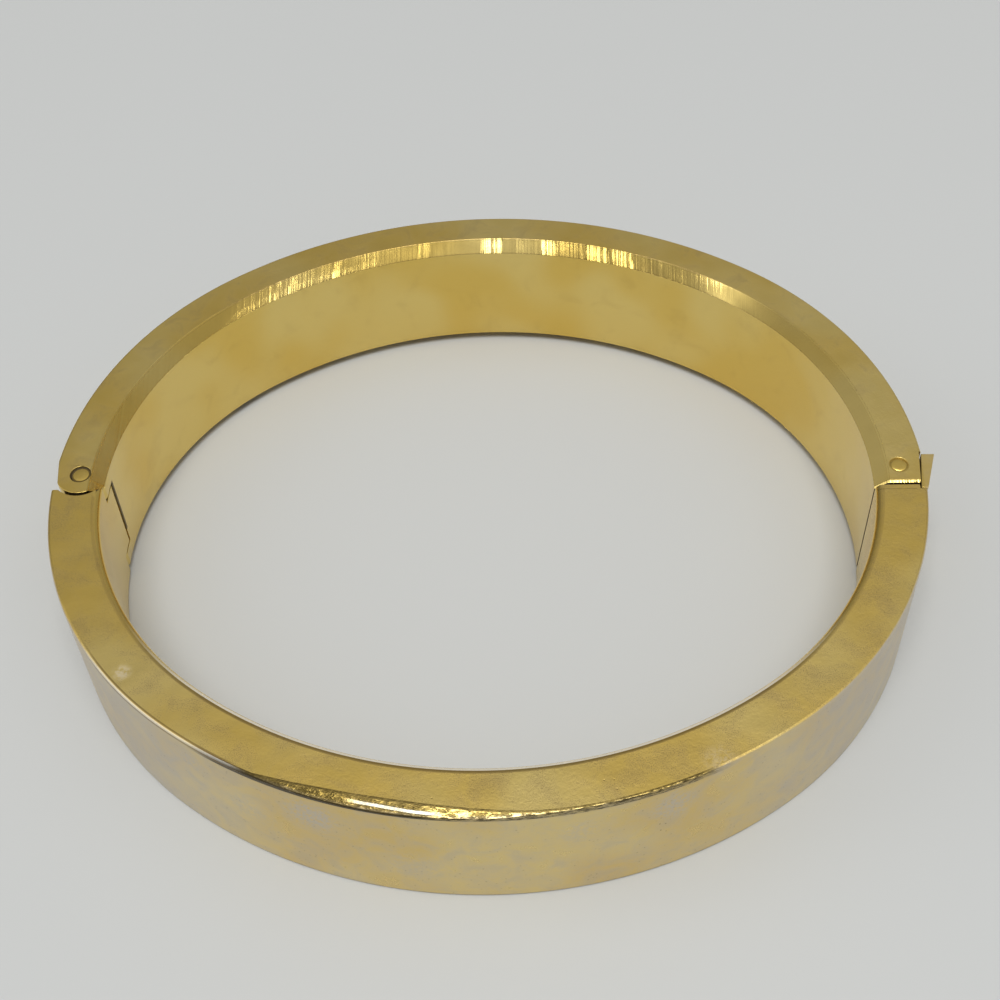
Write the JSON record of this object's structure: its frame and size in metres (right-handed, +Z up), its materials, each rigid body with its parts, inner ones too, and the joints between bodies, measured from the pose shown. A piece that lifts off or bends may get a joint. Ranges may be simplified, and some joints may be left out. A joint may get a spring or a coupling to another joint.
{
  "type": "hinged bangle",
  "caption": "Plain oval hinged bangle in polished yellow metal, with a pinned hinge at one end and a small push-tab clasp at the other.",
  "frame": {"origin": "middle of the oval, on the face that the bangle lies on", "axes": "+X along the oval's long axis towards the clasp, +Z up out of the face it lies on, the swinging half at -Y"},
  "size_m": [0.067, 0.059, 0.011],
  "materials": {
    "polished_gold": "polished, finely scratched gold plate",
    "pin_gold": "worn gold plate with dark grooves"
  },
  "bodies": {
    "back": {"back_half": "polished_gold", "hinge_pin": "pin_gold", "clasp_pin": "pin_gold"},
    "front": {"front_half": "polished_gold"},
    "lever": {"clasp_lever": "polished_gold"}
  },
  "joints": [
    {"name": "band_hinge", "type": "hinge", "parent": "back", "child": "front", "pos_m": [-0.03095, 0, 0], "axis": [0, 0, 1], "range_deg": [-65, 0]},
    {"name": "clasp_lever_pivot", "type": "hinge", "parent": "back", "child": "lever", "pos_m": [0.0311, 0, 0], "axis": [0, 0, 1], "range_deg": [0, 5], "stiffness_Nm_per_rad": 0.002}
  ]
}
